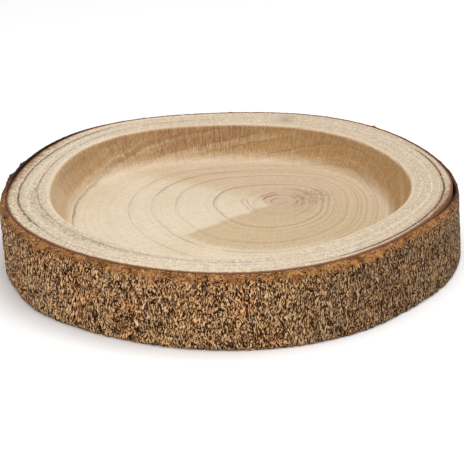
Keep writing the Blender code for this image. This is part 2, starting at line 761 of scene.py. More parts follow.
@dataclass(frozen=True)
class Flank:
    """Lines between two ring shares show only this far round either side of a bearing from the pith."""

    from_share: float
    to_share: float
    bearing_degrees: float
    spread_degrees: float


@dataclass(frozen=True)
class GrowthRings:
    """Growth rings that lie off the trunk's middle and follow its outline outwards.

    A point's ring share is its distance from the pith over the distance from the pith to the trunk's
    edge in the same direction, so a ring is small and round at the pith and has the trunk's own
    outline at the bark. Bends push the rings out or in between the two.
    """

    plan: SlicePlan
    pith: Place = (0.033, 0.033)
    rings: tuple[Ring, ...] = (
        Ring(0.000, 0.0, 0.0), Ring(0.105, 0.3, 0.4), Ring(0.185, 0.0, 0.3), Ring(0.268, 0.8, 0.35),
        Ring(0.335, 0.0, 0.3), Ring(0.415, 0.6, 0.3), Ring(0.505, 0.9, 0.2), Ring(0.590, 0.5, 0.2),
        Ring(0.690, 0.0, 0.0), Ring(0.782, 1.0, 0.0), Ring(0.835, 0.0, 0.0), Ring(0.893, 0.9, 0.1),
        Ring(0.950, 1.5, 1.8), Ring(1.040, 0.0, 0.0))
    bends: tuple[RingBend, ...] = (
        RingBend(44.0, 34.0, 0.055), RingBend(-152.0, 26.0, -0.045), RingBend(-15.0, 22.0, -0.02))
    flanks: tuple[Flank, ...] = (
        Flank(0.91, 1.04, 180.0, 48.0), Flank(0.91, 1.04, -28.0, 68.0), Flank(0.72, 0.865, 180.0, 38.0))
    faded: float = 0.18
    edge_points: int = 1440

    def reach(self, bearing: Array) -> Array:
        """Distance from the pith to the trunk's edge under its thinnest bark, by bearing.

        Args:
            bearing: Directions from the pith, in radians.

        Returns:
            A distance for each direction.
        """
        angle = np.linspace(0.0, math.tau, self.edge_points, endpoint=False)
        edge = self.plan.place(angle, self.plan.trunk_edge(angle), np.zeros_like(angle), 0.0)
        away_x, away_y = edge[:, 0] - self.pith[0], edge[:, 1] - self.pith[1]
        return np.interp(bearing, np.arctan2(away_y, away_x), np.hypot(away_x, away_y), period=math.tau)

    def marks(self, across: Array, deep: Array) -> dict[str, Array]:
        """Marks that let a shader draw the rings.

        ring_count is how many rings lie between the pith and the point, so it is a whole number on
        each ring's line. ring_share is the share itself, ring_width the width of one year's growth
        there, in metres, and ring_dark how dark the nearest lines are.

        Args:
            across: Places along X.
            deep: Places along Y.

        Returns:
            The marks by name.
        """
        x, y = across - self.pith[0], deep - self.pith[1]
        bearing = np.arctan2(y, x)
        reach = self.reach(bearing)
        share = self.bent(np.hypot(x, y) / reach, bearing)
        shares = np.array([ring.share for ring in self.rings])
        widths = np.diff(shares)
        left = np.interp(share, shares, [ring.left for ring in self.rings])
        right = np.interp(share, shares, [ring.right for ring in self.rings])
        side = smooth_step(np.cos(bearing), -0.55, 0.35)
        return {"ring_count": np.interp(share, shares, np.arange(len(shares))),
                "ring_share": share,
                "ring_width": reach * np.interp(share, shares[:-1] + 0.5 * widths, widths),
                "ring_dark": (left + side * (right - left)) * self.shown(share, bearing)}

    def bent(self, share: Array, bearing: Array) -> Array:
        """Ring share, pushed in or out by each bend.

        A bend falls off by bearing as exp(-(turn / spread)^2), and by share as 4 s (1 - s), which
        is 0 at the pith and at the wood's edge.

        Args:
            share: Plain ring share.
            bearing: Direction from the pith, in radians.

        Returns:
            The bent share.
        """
        bend = np.zeros_like(share)
        for each in self.bends:
            turn = turned_from(bearing, each.bearing_degrees) / each.spread_degrees
            bend += each.amount * np.exp(-(turn ** 2))
        between = 4.0 * np.clip(share * (1.0 - share), 0.0, None)
        return share - bend * between * smooth_step(share, 0.05, 0.22)

    def shown(self, share: Array, bearing: Array) -> Array:
        """How much of a line shows: all of it, but within the flanks' shares only near their bearings.

        Args:
            share: Ring share.
            bearing: Direction from the pith, in radians.

        Returns:
            Shares of 1, down to faded.
        """
        shown, limited = np.zeros_like(share), np.zeros(share.shape, bool)
        for flank in self.flanks:
            away = np.abs(turned_from(bearing, flank.bearing_degrees))
            within = (share > flank.from_share) & (share < flank.to_share)
            near = 1.0 - smooth_step(away, 0.6 * flank.spread_degrees, flank.spread_degrees)
            shown = np.maximum(shown, np.where(within, near, 0.0))
            limited |= within
        return np.where(limited, np.maximum(shown, self.faded), 1.0)


# ----------------------------------------------------------------------------- pieces


class WoodPart(Enum):
    """Stretches of the sawn wood's profile, from the underside's middle to the floor's middle."""

    UNDERSIDE = "underside"
    SIDE = "side"
    RIM = "rim"
    LIP = "lip"
    WALL = "wall"
    COVE = "cove"
    FLOOR = "floor"


@dataclass(frozen=True)
class Stretch:
    """A stretch round the edge that differs from the rest: where, how far round, and by how much.

    The amount holds over the even share of the spread, to either side of the place.
    """

    place_degrees: float
    spread_degrees: float
    amount: float
    even_share: float = 0.35

    def sample(self, angle: Array) -> Array:
        """The amount near the place, eased to none at the spread."""
        away = np.abs(turned_from(angle, self.place_degrees)) / self.spread_degrees
        return self.amount * (1.0 - smooth_step(away, self.even_share, 1.0))


@dataclass(frozen=True)
class Disc:
    """A round island of the bake map: its middle and its radius."""

    across: float
    up: float
    radius: float


@dataclass
class SawnWood:
    """The wood inside the bark: underside, hidden side, flat rim and recess, as one closed skin.

    rows says how many rings each part has. The first ring under the slab and the last on the floor
    are small shares of the outline round their poles. The recess wall has faint waves in its height.
    """

    plan: SlicePlan
    growth: GrowthRings
    name: str = "sawn_wood"
    columns: int = 640
    rows: dict[WoodPart, int] = field(default_factory=lambda: {
        WoodPart.UNDERSIDE: 14, WoodPart.SIDE: 5, WoodPart.RIM: 32, WoodPart.LIP: 7,
        WoodPart.WALL: 24, WoodPart.COVE: 8, WoodPart.FLOOR: 44})
    first_under: float = 0.02
    last_floor: float = 0.015
    edge_round: float = 0.0004
    chatter_height: float = 0.00012
    chatter_waves: tuple[float, float] = (46.0, 71.0)
    top_disc: Disc = Disc(0.41, 0.59, 0.40)
    under_disc: Disc = Disc(0.835, 0.165, 0.155)
    edge_stains: tuple[Stretch, ...] = (Stretch(162.0, 34.0, 1.0, 0.3), Stretch(-12.0, 20.0, 0.8, 0.3))

    @property
    def under_rows(self) -> int:
        """Number of rings on the underside and the side."""
        return self.rows[WoodPart.UNDERSIDE] + self.rows[WoodPart.SIDE]

    @staticmethod
    def in_parts(parts: list[WoodPart], *wanted: WoodPart) -> Array:
        """A column that is true for each ring in one of the wanted parts."""
        return np.array([part in wanted for part in parts])[:, None]

    @staticmethod
    def rounded_corner(corner: Array, leg_in: Array, leg_out: Array, radius: float, steps: int) -> Array:
        """Points of the arc that rounds a profile's corner, tangent to both legs.

        Args:
            corner: The corner.
            leg_in: Unit vector from the corner back along the first leg.
            leg_out: Unit vector from the corner along the second leg.
            radius: Radius of the arc.
            steps: Number of points.

        Returns:
            The arc's points, first leg to second leg.
        """
        half = 0.5 * math.acos(float(leg_in @ leg_out))
        bisector = (leg_in + leg_out) / np.linalg.norm(leg_in + leg_out)
        centre = corner + bisector * radius / math.sin(half)
        start = corner + leg_in * radius / math.tan(half) - centre
        end = corner + leg_out * radius / math.tan(half) - centre
        turn = math.pi - 2.0 * half
        share = np.linspace(0.0, 1.0, steps)[:, None]
        return centre + (np.sin((1.0 - share) * turn) * start + np.sin(share * turn) * end) / math.sin(turn)

    def recess_profile(self) -> dict[WoodPart, Array]:
        """Inset from the lip and height of each row from lip to cove.

        Returns:
            For each part, rows of (inset, height).
        """
        plan = self.plan
        lip = np.array([0.0, plan.thickness])
        foot = np.array([plan.wall_run, plan.floor_height])
        flat = np.array([1.0, 0.0])
        down = (foot - lip) / np.linalg.norm(foot - lip)
        over = self.rounded_corner(lip, -flat, down, plan.lip_round, self.rows[WoodPart.LIP])
        cove = self.rounded_corner(foot, -down, flat, plan.cove_round, self.rows[WoodPart.COVE])
        wall_share = np.linspace(0.0, 1.0, self.rows[WoodPart.WALL] + 2)[1:-1, None]
        wall = over[-1] + wall_share * (cove[0] - over[-1])
        return {WoodPart.LIP: over, WoodPart.WALL: wall, WoodPart.COVE: cove}

    def layout(self) -> tuple[Array, Array, Array, Array, list[WoodPart]]:
        """Radius, height and lean of each ring of the profile.

        Radii run from the pole under the slab out to the wood's edge, up its side, in over the rim,
        down the recess and in to the floor's pole.

        Returns:
            Radii (rows, columns), heights (rows, 1), shifts along X and Y (rows, 1) and each row's part.
        """
        plan = self.plan
        angle = np.linspace(0.0, math.tau, self.columns, endpoint=False)
        edge, lip = plan.wood_edge(angle), plan.lip_edge(angle)
        recess = self.recess_profile()
        radii: list[Array] = []
        heights: list[float] = []
        parts: list[WoodPart] = []

        def add(part: WoodPart, radius: Array, height: float) -> None:
            """Note one ring.

            Args:
                part: Stretch of the profile it is on.
                radius: Its radius, by direction.
                height: Its height.
            """
            radii.append(radius)
            heights.append(height)
            parts.append(part)

        for share in np.linspace(self.first_under, 1.0, self.rows[WoodPart.UNDERSIDE]):
            add(WoodPart.UNDERSIDE, edge * share, 0.0)
        for height in np.linspace(0.0, plan.thickness - self.edge_round, self.rows[WoodPart.SIDE] + 1)[1:]:
            add(WoodPart.SIDE, edge, float(height))
        rim_edge = edge - self.edge_round
        lip_start = lip - recess[WoodPart.LIP][0, 0]
        for share in np.linspace(0.0, 1.0, self.rows[WoodPart.RIM], endpoint=False):
            add(WoodPart.RIM, rim_edge + (lip_start - rim_edge) * share, plan.thickness)
        for part in (WoodPart.LIP, WoodPart.WALL, WoodPart.COVE):
            for inset, height in recess[part]:
                add(part, lip - inset, float(height))
        floor_edge = lip - recess[WoodPart.COVE][-1, 0]
        for share in np.linspace(1.0, self.last_floor, self.rows[WoodPart.FLOOR] + 1)[1:]:
            add(WoodPart.FLOOR, floor_edge * share, plan.floor_height)

        height = np.array(heights)[:, None]
        below_rim = self.in_parts(parts, WoodPart.LIP, WoodPart.WALL, WoodPart.COVE, WoodPart.FLOOR)
        cut = below_rim * 1.0
        rim_shares = np.linspace(0.0, 1.0, self.rows[WoodPart.RIM], endpoint=False)
        cut[self.in_parts(parts, WoodPart.RIM)] = rim_shares
        shift = plan.recess_shift[0] * cut + plan.lean_at(height) * ~below_rim
        return np.array(radii), height, shift, plan.recess_shift[1] * cut, parts

    def chatter(self, angle: Array) -> Array:
        """Faint waves that the cutter leaves: two sines of the angle, the second weaker."""
        first, second = self.chatter_waves
        return self.chatter_height * (np.sin(first * angle) + 0.6 * np.sin(second * angle + 1.0))

    def chart(self, row: Array, column: Array, side: Array) -> Array:
        """Bake map: the top as one disc, the underside and side as another, by length of profile.

        On the top disc a ring's radius is what is left of the profile, over all of the top's. On the
        other it is the length so far, over that at the top edge.

        Args:
            row: Ring of each corner, -1 or one past the last for a pole.
            column: Column of each corner.
            side: A row inside each face, which says which disc it belongs to.

        Returns:
            Map places, with a last axis of u and v.
        """
        turn = column / self.columns * math.tau
        lengths = self.profile_lengths()
        under = lengths[:self.under_rows + 1]
        left_over = (lengths[-1] - lengths) / (lengths[-1] - under[-1])
        known = np.arange(-1, len(lengths) - 1)
        on_top = side > self.under_rows - 1
        top_radius = self.top_disc.radius * np.interp(row, known, left_over)
        under_radius = self.under_disc.radius * np.interp(row, known[:len(under)], under / under[-1])
        radius = np.where(on_top, top_radius, under_radius)
        across = np.where(on_top, self.top_disc.across, self.under_disc.across) + radius * np.cos(turn)
        up = np.where(on_top, self.top_disc.up, self.under_disc.up) + radius * np.sin(turn)
        return np.stack((across, up), axis=-1)

    def profile_lengths(self) -> Array:
        """Length of the profile up to each ring, from the pole under the slab to the floor's pole.

        Returns:
            Lengths: one for each ring, and one for the pole at either end.
        """
        radii, heights, _, _, _ = self.layout()
        line = np.column_stack((radii[:, 0], heights[:, 0]))
        line = np.vstack(([0.0, 0.0], line, [0.0, self.plan.floor_height]))
        steps = np.hypot(*np.diff(line, axis=0).T)
        return np.concatenate(([0.0], np.cumsum(steps)))

    def build(self) -> bpy.types.Object:
        """Make the wood, with its marks for the finish.

        Marks: those of GrowthRings, edge_depth the way in from the wood's edge in metres, cut_slope 1
        on the recess wall, wall_drop the share of the recess's depth, lip_highlight_and_wear 1 on the rounded lip,
        rim 1 on the flat rim, and edge_stain 1 where the bark has stained the wood beside it.

        Returns:
            The mesh object.
        """
        plan = self.plan
        radii, heights, shift, shift_back, parts = self.layout()
        angle = np.linspace(0.0, math.tau, self.columns, endpoint=False)
        rings = plan.place(angle, radii, heights, shift, shift_back)
        rings[..., 2] += self.in_parts(parts, WoodPart.WALL) * self.chatter(angle)
        drop = plan.thickness - heights
        wall = smooth_step(drop, 0.0002, 0.0018)
        wall = wall * (1.0 - smooth_step(drop, 0.62 * plan.recess_depth, plan.recess_depth))
        inside = ~self.in_parts(parts, WoodPart.UNDERSIDE, WoodPart.SIDE)
        # The rounded lip's mark: the finish paints it paler there, both as a highlight and as wear.
        on_lip = self.in_parts(parts, WoodPart.LIP) * (1.0 - smooth_step(drop, 0.0, 0.0004))
        stain = sum(stretch.sample(angle) for stretch in self.edge_stains)
        marks = {
            "edge_depth": plan.wood_edge(angle) - radii,
            "cut_slope": wall * inside,
            "wall_drop": drop / plan.recess_depth,
            "lip_highlight_and_wear": on_lip,
            "rim": 1.0 * self.in_parts(parts, WoodPart.RIM),
            "edge_stain": stain * inside,
        }
        marks = {name: np.broadcast_to(values, radii.shape) for name, values in marks.items()}
        marks.update(self.growth.marks(rings[..., 0], rings[..., 1]))
        return Skin(self.name, rings, marks, False, self.chart).build()


@dataclass
class Bark:
    """The bark as a closed ring round the wood, rough outside and rubbed down near the sawn top.

    Heights, depths and the clearance from the wood are in metres. push_turn and lean_turn are shares
    of a turn, and furrow_width and vein_width are values of the noise that draws those lines. chips
    are the nicks in the top and lower edges. The stretches say where the rubbed edge is near black,
    where a gap has opened beside the wood, and where the bark is thicker or thinner than the CAD
    solid's.
    """

    plan: SlicePlan
    name: str = "bark"
    columns: int = 1400
    side_rows: int = 62
    inner_rows: int = 6
    strips: int = 4
    strip_margin: float = 0.006
    clearance: float = 0.00005
    worn_edge: float = 0.0010
    worn_smoothing: float = 0.90
    dark_top_smoothing: float = 0.6
    foot_ease: float = 0.0014
    foot_height: float = 0.003
    furrow_depth: float = 0.00070
    vein_height: float = 0.00055
    flake_height: float = 0.00030
    crumb_height: float = 0.00016
    grit_height: float = 0.00010
    furrow_width: float = 0.17
    vein_width: float = 0.13
    push_turn: float = 0.0024
    lean_turn: float = 0.0040
    rise_height: float = 0.0030
    top_chips: float = 0.00015
    foot_level: float = 0.0002
    foot_chips: float = 0.0007
    foot_most: float = 0.0012
    push_noise: WrappedNoise = WrappedNoise(88, 0.011, 1)
    rise_noise: WrappedNoise = WrappedNoise(72, 0.009, 2)
    furrow_noise: WrappedNoise = WrappedNoise(74, 0.030, 3)
    flake_noise: WrappedNoise = WrappedNoise(200, 0.0110, 4)
    crumb_noise: WrappedNoise = WrappedNoise(400, 0.0100, 5)
    grit_noise: WrappedNoise = WrappedNoise(700, 0.0055, 6)
    lean_noise: WrappedNoise = WrappedNoise(40, 0.030, 7)
    vein_noise: WrappedNoise = WrappedNoise(96, 0.021, 8)
    band_noise: WrappedNoise = WrappedNoise(70, 0.01, 11)
    fringe_noise: WrappedNoise = WrappedNoise(260, 0.01, 12)
    chip_noise: WrappedNoise = WrappedNoise(150, 0.01, 13)
    # Stretches where the rubbed top edge of the bark is near black.
    dark_top_edge: tuple[Stretch, ...] = (Stretch(160.0, 34.0, 1.0), Stretch(2.0, 26.0, 0.8))
    gaps: tuple[Stretch, ...] = (Stretch(152.0, 34.0, 0.0016), Stretch(-12.0, 19.0, 0.0022))
    swells: tuple[Stretch, ...] = (
        Stretch(194.0, 26.0, -0.0021), Stretch(158.0, 22.0, 0.0009),
        Stretch(219.0, 13.0, 0.0010), Stretch(-40.0, 12.0, -0.0009))

    @staticmethod
    def thread(values: Array, width: float) -> Array:
        """1 along the lines where a noise passes through 0, and 0 away from them."""
        return 1.0 - smooth_step(np.abs(values), 0.1 * width, width)

    @staticmethod
    def total(stretches: tuple[Stretch, ...], angle: Array) -> Array:
        """Sum of some stretches, by direction."""
        return sum(stretch.sample(angle) for stretch in stretches)

    def texture(self, turn: Array, height: Array) -> tuple[Array, Array]:
        """Relief of the bark and how light its surface is.

        Places are first pushed about by slow noise, so that nothing runs straight. Furrows and veins
        follow the lines where a tall noise passes through 0. Flakes, crumbs and grit are noises of
        falling size, and a crumb is 0.7 - 2.4 |noise|, which is sharp on top.

        Args:
            turn: Share of a turn round the trunk.
            height: Height on the trunk.

        Returns:
            Relief in metres, and tone, which is about 0 in the mean and higher on proud crumbs.
        """
        push = self.push_turn * self.push_noise.sample(turn, height)
        lean = self.lean_turn * self.lean_noise.sample(turn, height)
        rise = self.rise_height * self.rise_noise.sample(turn, height)
        place = (turn + push + lean, height + rise)
        furrows = self.thread(self.furrow_noise.sample(*place), self.furrow_width)
        veins = self.thread(self.vein_noise.sample(*place), self.vein_width)
        flakes = self.flake_noise.sample(*place)
        crumbs = 0.7 - 2.4 * np.abs(self.crumb_noise.sample(*place))
        grit = self.grit_noise.sample(*place)
        relief = (self.vein_height * veins - self.furrow_depth * furrows + self.flake_height * flakes
                  + self.crumb_height * crumbs + self.grit_height * grit)
        # tone: darker in furrows and lighter on veins and crumbs, partly the bark's own colour and partly
        # painted shade in the hollows and painted highlight on the proud tops.
        tone = 0.34 * veins - 0.34 * furrows + 0.16 * flakes + 0.12 * crumbs + 0.14 * grit
        return relief, tone

    def build(self) -> bpy.types.Object:
        """Make the bark, with its marks for the finish.

        The outer radius is the wood's edge, plus the bark's thickness at that height, plus the relief.
        The thickness eases in at the foot and is rubbed down to a thin edge in a ragged top band.
        Marks: tone as texture says, worn 1 where the bark is rubbed down, inner 1 on the side towards
        the wood and 2 deep in a gap, and charred 1 where the rubbed edge has gone near black.

        Returns:
            The mesh object.
        """
        plan = self.plan
        turn = np.arange(self.columns)[None, :] / self.columns
        angle = turn * math.tau
        level = np.zeros_like(turn)
        ragged = self.band_noise.sample(turn, level)
        fringe = self.fringe_noise.sample(turn, level)
        foot = self.foot_level + self.foot_chips * self.chip_noise.sample(turn, level)
        foot = np.clip(foot, 0.0, self.foot_most)
        top = plan.thickness - self.top_chips * (2.0 + fringe)
        height = foot + (top - foot) * np.linspace(0.0, 1.0, self.side_rows)[:, None]
        relief, tone = self.texture(turn, height)
        band = plan.worn_band * (0.66 + 0.20 * np.cos(angle + 1.4) + 0.34 * ragged + 0.30 * fringe)
        worn = smooth_step(height, plan.thickness - 1.5 * band, plan.thickness - 0.3 * band)
        slope = smooth_step(height, plan.thickness - band, plan.thickness + 0.2 * band)
        gap = self.total(self.gaps, angle)
        whole = plan.bark_thickness + plan.extra_bark(angle) + self.total(self.swells, angle)
        thickness = whole + (self.worn_edge - whole) * slope + gap * slope
        thickness = thickness - self.foot_ease * (1.0 - smooth_step(height, 0.0, self.foot_height)) ** 2
        dark_top_edge = self.total(self.dark_top_edge, angle + 0.08 * ragged)
        kept = (1.0 - self.worn_smoothing * worn) * (1.0 - self.dark_top_smoothing * dark_top_edge)
        wood = plan.wood_edge(angle)
        inner_height, inner_width = self.inner_side(top, foot, gap)
        radii = np.vstack((wood + thickness + relief * kept, wood + self.clearance + inner_width))
        heights = np.vstack((height, inner_height))
        rings = plan.place(np.broadcast_to(angle, radii.shape), radii, heights, plan.lean_at(heights))
        hidden = np.ones_like(inner_width)
        # Rows down the side towards the wood get an inner mark of 2, where the finish paints near-black
        # shade in the gap.
        deep = hidden.copy()
        deep[0] = 0.0
        marks = {
            "tone": np.vstack((tone, -0.6 * hidden)),
            "worn": np.vstack((worn, hidden)),
            "inner": np.vstack((0.0 * height, hidden + deep)),
            "dark_top_edge": np.vstack((dark_top_edge * worn, dark_top_edge * hidden)),
        }
        return Skin(self.name, rings, marks, True, self.chart).build()

    def inner_side(self, top: Array, foot: Array, gap: Array) -> tuple[Array, Array]:
        """Rings down the side towards the wood: down the gap, in to the wood and on to the foot.

        Args:
            top: Height of the bark's top edge, by direction.
            foot: Height of its lower edge.
            gap: Width of the gap at its mouth.

        Returns:
            Heights, and widths out from the wood.
        """
        thickness = self.plan.thickness
        level, closed = np.ones_like(gap), np.zeros_like(gap)
        heights = np.vstack((top, top - 0.0012, (thickness - 0.008) * level, 0.5 * thickness * level,
                             self.foot_height * level, foot))
        return heights, np.vstack((gap, gap, 0.3 * gap, closed, closed, closed))

    def chart(self, row: Array, column: Array, side: Array) -> Array:
        """Bake map: the unrolled ring cut into equal strips, one above the other.

        The outer side gets most of each strip's height, and the hidden inner side the rest.

        Args:
            row: Ring of each corner.
            column: Column of each corner.
            side: A row inside each face; unused, because all rows share a strip.

        Returns:
            Map places, with a last axis of u and v.
        """
        strip_columns = self.columns // self.strips
        strip = column[:, :1] // strip_columns
        along = (column - strip * strip_columns) / strip_columns
        known = (0.0, self.side_rows - 1.0, float(self.side_rows + self.inner_rows))
        up = np.interp(row, known, (0.0, 0.82, 0.96))
        used = 1.0 - 2.0 * self.strip_margin
        across = self.strip_margin + used * along
        rise = (strip + self.strip_margin + used * up) / self.strips
        return np.stack(np.broadcast_arrays(across, rise), axis=-1)


# ----------------------------------------------------------------------------- finishes


@dataclass(frozen=True)
class WoodPoint:
    """What the layers of the wood's finish read at a surface point.

    here is the point in metres, flat the way to it in plan from the pith, distance the length of
    that way and heading its direction. share is the ring share, and right is 0 on the left of the
    pith and 1 on its right. rim is 1 on the flat rim, wall 1 on the recess wall, edge_depth the way
    in from the wood's edge, clouds a mask of soft patches, and knot 1 where the knot curls the grain.
    """

    here: Socket
    flat: Socket
    distance: Socket
    heading: Socket
    share: Socket
    right: Socket
    rim: Socket
    wall: Socket
    edge_depth: Socket
    clouds: Socket
    knot: Socket


@dataclass(frozen=True)
class SawnWoodFinish:
    """Bare sawn wood: cream, with growth rings, rays, pores, a darker recess wall and a pith eye.

    Places, depths and widths are in metres, and a side is a direction in plan. The colours go on in
    layers, each over the last by a mask.
    """

    pith: Place
    recess_middle: Place
    knot: Place = (0.056, 0.042)
    knot_core: float = 0.006
    knot_reach: float = 0.018
    smudge: Place = (0.038, 0.133)
    smudge_core: float = 0.003
    smudge_reach: float = 0.010
    eye_radius: float = 0.0125
    line_width: float = 0.0009
    line_extra: float = 0.0004
    last_year_depth: float = 0.0070
    stain_depth: float = 0.0085
    cambium_depth: float = 0.0023
    heart_end: float = 0.452
    right_side: Direction = (0.98, 0.10, 0.0)
    front_side: Direction = (-0.30, -0.95, 0.0)
    rear_side: Direction = (0.30, 0.95, 0.0)
    porous_side: Direction = (-0.84, -0.54, 0.0)
    wedge_front: Direction = (-0.695, 0.719, 0.0)
    wedge_rear: Direction = (-0.469, -0.883, 0.0)
    wall_right_side: Direction = (1.0, 0.1, 0.0)
    wall_rear_side: Direction = (-0.10, 0.99, 0.0)
    torn_side: Direction = (-0.30, 0.954, 0.0)
    cream: Colour = srgb(220, 203, 177)
    pale: Colour = srgb(228, 212, 186)
    bright: Colour = srgb(246, 236, 216)
    sand: Colour = srgb(206, 182, 148)
    khaki: Colour = srgb(194, 170, 132)
    rosy: Colour = srgb(203, 177, 145)
    rim: Colour = srgb(213, 196, 171)
    rim_grey: Colour = srgb(188, 168, 142)
    outer_ring: Colour = srgb(207, 183, 155)
    last_year: Colour = srgb(236, 214, 178)
    wall_left: Colour = srgb(192, 164, 126)
    wall_right: Colour = srgb(174, 132, 76)
    wall_back: Colour = srgb(178, 137, 80)
    # Dark brown of the wall: painted shade under the lip, and the wall's own dark grain bands and columns.
    wall_shade_and_grain: Colour = srgb(138, 98, 50)
    ring_line: Colour = srgb(104, 76, 52)
    ring_red: Colour = srgb(92, 54, 34)
    pore: Colour = srgb(104, 84, 66)
    streak: Colour = srgb(118, 70, 36)
    pith_eye: Colour = srgb(198, 168, 146)
    knot_brown: Colour = srgb(130, 92, 66)
    stain: Colour = srgb(124, 84, 40)
    cambium: Colour = srgb(102, 46, 14)
    roughness: float = 0.72
    specular: float = 0.25
    bump: Bump = Bump(0.6, 0.0003)

    def make(self, effects: Effects) -> bpy.types.Material:
        """Make the material.

        Args:
            effects: The shared node groups.

        Returns:
            The material.
        """
        material, bench, shader = new_material("bare_sawn_wood")
        at = self.survey(bench, effects)
        before, after = self.ring_ways(bench, at)
        line = self.ring_lines(bench, at, before, after)
        pores, rays = self.grain(bench, effects, at, after)

        colour = bench.tint(self.cream, self.sand, at.clouds, 0.35)
        for layer in (self.tint_heart, self.tint_years, self.tint_rim):
            colour = layer(bench, at, colour)
        colour = self.tint_wall(bench, effects, at, colour)
        # Painted highlight and wear: the rounded lip is tinted paler towards cream.
        colour = bench.tint(colour, self.cream, bench.mark("lip_highlight_and_wear"), 0.30)
        colour = bench.tint(colour, bench.mix(at.right, self.ring_line, self.ring_red), line, 0.66)
        colour = bench.tint(colour, self.pore, pores)
        colour = bench.tint(colour, self.streak, rays, 0.13)
        for layer in (self.add_weave, self.add_pith, self.add_knot, self.add_edge):
            colour = layer(bench, at, colour)

        height = bench.plus(bench.times(rays, -0.5), bench.times(pores, -1.2), bench.times(line, -0.8),
                            bench.times(bench.noise(at.here, 900.0), 0.5))
        self.bump.wire(bench, shader, height)
        bench.feed(shader.inputs["Base Color"], colour)
        bench.feed(shader.inputs["Roughness"], bench.lift(self.roughness, pores, 0.3))
        bench.feed(shader.inputs["Specular IOR Level"], self.specular)
        return material

    def survey(self, bench: NodeBench, effects: Effects) -> WoodPoint:
        """Work out what the layers read.

        Args:
            bench: The material's bench.
            effects: The shared node groups.

        Returns:
            The values at the surface point.
        """
        here = bench.here()
        flat = bench.in_plan(here, self.pith)
        heading = bench.heading(here, self.pith)
        from_knot = bench.length(bench.in_plan(here, self.knot))
        return WoodPoint(
            here=here,
            flat=flat,
            distance=bench.length(flat),
            heading=heading,
            share=bench.lift(bench.mark("ring_share"), bench.swing(here, 45.0), 0.020),
            right=bench.remap(bench.dot(heading, self.right_side), -0.55, 0.60),
            rim=bench.mark("rim"),
            wall=bench.mark("cut_slope"),
            edge_depth=bench.mark("edge_depth"),
            clouds=bench.use(effects.patches, {"Vector": here, "Scale": 16.0, "Low": 0.40, "High": 0.66}),
            knot=bench.remap(from_knot, self.knot_reach, self.knot_core),
        )

    def ring_ways(self, bench: NodeBench, at: WoodPoint) -> tuple[Socket, Socket]:
        """Ways to the nearest ring lines.

        The ring count is pushed about by noise, most of all at the knot. The part of it past a whole
        number, times the width of a year, is the way from the last line.

        Args:
            bench: The material's bench.
            at: The surface point.

        Returns:
            Way in to the line outside the point, and way out from the line inside it, in metres.
        """
        count = bench.lift(bench.mark("ring_count"), bench.swing(at.here, 38.0), 0.20)
        count = bench.lift(count, bench.swing(at.here, 170.0), 0.08)
        count = bench.plus(count, bench.times(bench.swing(at.here, 120.0), at.knot, 2.4))
        phase = bench.math("FRACT", count)
        width = bench.mark("ring_width")
        return bench.times(bench.rest(phase), width), bench.times(phase, width)

    def ring_lines(self, bench: NodeBench, at: WoodPoint, before: Socket, after: Socket) -> Socket:
        """Dark line where a year's growth ends, wider where it is darker, with a soft shade inside it.

        Args:
            bench: The material's bench.
            at: The surface point.
            before: Way in to the line outside the point.
            after: Way out from the line inside the point.

        Returns:
            Mask of the lines.
        """
        dark = bench.mark("ring_dark")
        width = bench.lift(self.line_width, dark, self.line_extra)
        crisp = bench.most(bench.remap(before, width, 0.0002),
                           bench.remap(after, bench.times(width, 0.6), 0.0001))
        soft = bench.times(bench.remap(before, 0.0050, 0.0), 0.30)
        fade = bench.remap(bench.noise(at.here, 20.0, 3.0), 0.36, 0.60, 0.25, 1.0)
        steady = bench.most(fade, bench.remap(dark, 0.9, 1.4))
        return bench.times(bench.most(crisp, soft), dark, steady)

    def grain(self, bench: NodeBench, effects: Effects, at: WoodPoint,
              after: Socket) -> tuple[Socket, Socket]:
        """Pores and rays of the end grain, rough on the sawn rim and fine where it is sanded.

        Args:
            bench: The material's bench.
            effects: The shared node groups.
            at: The surface point.
            after: Way out from the line inside the point.

        Returns:
            Masks of pores and of rays.
        """
        dots = bench.use(effects.fibre, {"Vector": at.here, "Across": 900.0, "Along": 60.0,
                                         "Low": 0.50, "High": 0.62})
        rays = bench.remap(bench.dashes(at.heading, at.distance, 150.0, 120.0), -0.04, 0.18)
        dash = bench.remap(bench.dashes(at.heading, at.distance, 150.0, 420.0), 0.0, 0.12)
        crowd = bench.remap(after, 0.0100, 0.0010, 0.25, 1.0)
        porous = bench.remap(bench.dot(at.heading, self.porous_side), 0.86, 0.99)
        worked = bench.plus(0.08, bench.times(at.rim, 0.22), bench.times(at.rim, porous, crowd, 0.40))
        pores = bench.times(bench.most(dots, dash), worked, bench.lift(0.5, crowd, 0.5))
        return pores, rays

    def tint_heart(self, bench: NodeBench, at: WoodPoint, colour: Socket) -> Socket:
        """Heartwood, khaki in front and rosy behind, with a pale wedge to the left of the pith.

        The wedge is where the point lies on the pale side of two lines through the pith: a crisp one
        in front and a soft one behind. In front the heart ends at a ring.

        Args:
            bench: The material's bench.
            at: The surface point.
            colour: Colour so far.

        Returns:
            The new colour.
        """
        ragged = bench.times(bench.swing(at.flat, 120.0, 4.0), 0.010)
        past_front = bench.remap(bench.plus(bench.dot(at.flat, self.wedge_front), ragged), -0.0024, 0.0020)
        past_rear = bench.remap(bench.plus(bench.dot(at.flat, self.wedge_rear), ragged), -0.010, 0.010)
        pale = bench.times(past_front, past_rear)
        front = bench.remap(bench.dot(at.heading, self.front_side), 0.66, 0.94)
        sapwood = bench.times(bench.remap(at.share, self.heart_end, self.heart_end + 0.048), front)
        behind = bench.remap(bench.dot(at.heading, self.rear_side), -0.25, 0.60)
        deep = bench.remap(at.share, 0.80, 0.42, 0.45, 0.90)
        return bench.tint(colour, bench.mix(behind, self.khaki, self.rosy), bench.rest(pale),
                          bench.rest(sapwood), deep)

